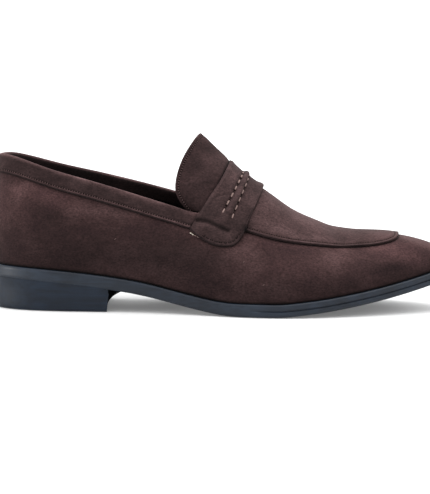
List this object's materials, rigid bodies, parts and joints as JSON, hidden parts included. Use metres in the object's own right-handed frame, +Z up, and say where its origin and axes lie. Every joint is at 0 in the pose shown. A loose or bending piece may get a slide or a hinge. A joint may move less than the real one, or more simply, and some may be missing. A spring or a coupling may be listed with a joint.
{
  "type": "suede loafer",
  "caption": "Right slip-on dress loafer of suede: hollow upper with collar binding, apron, standing tongue and saddle strap, on a grooved sole with a low heel.",
  "frame": {"origin": "on the floor plane, under the middle of the sole's outline", "axes": "+X towards the toe, +Y towards the inner side of the foot, +Z up"},
  "size_m": [0.302, 0.1032, 0.111],
  "materials": {
    "sole_rubber": "satin blue-black",
    "heel_rubber": "satin blue-black",
    "insole_leather": "matt near-black",
    "upper_suede": "chocolate suede nap",
    "binding_suede": "chocolate suede nap",
    "apron_suede": "chocolate suede nap",
    "tongue_suede": "chocolate suede nap",
    "strap_suede": "chocolate suede nap"
  },
  "bodies": {
    "root": {"outsole": "sole_rubber", "heel": "heel_rubber", "insole": "insole_leather", "upper": "upper_suede", "collar": "binding_suede", "apron": "apron_suede", "tongue": "tongue_suede", "strap": "strap_suede"}
  },
  "joints": []
}
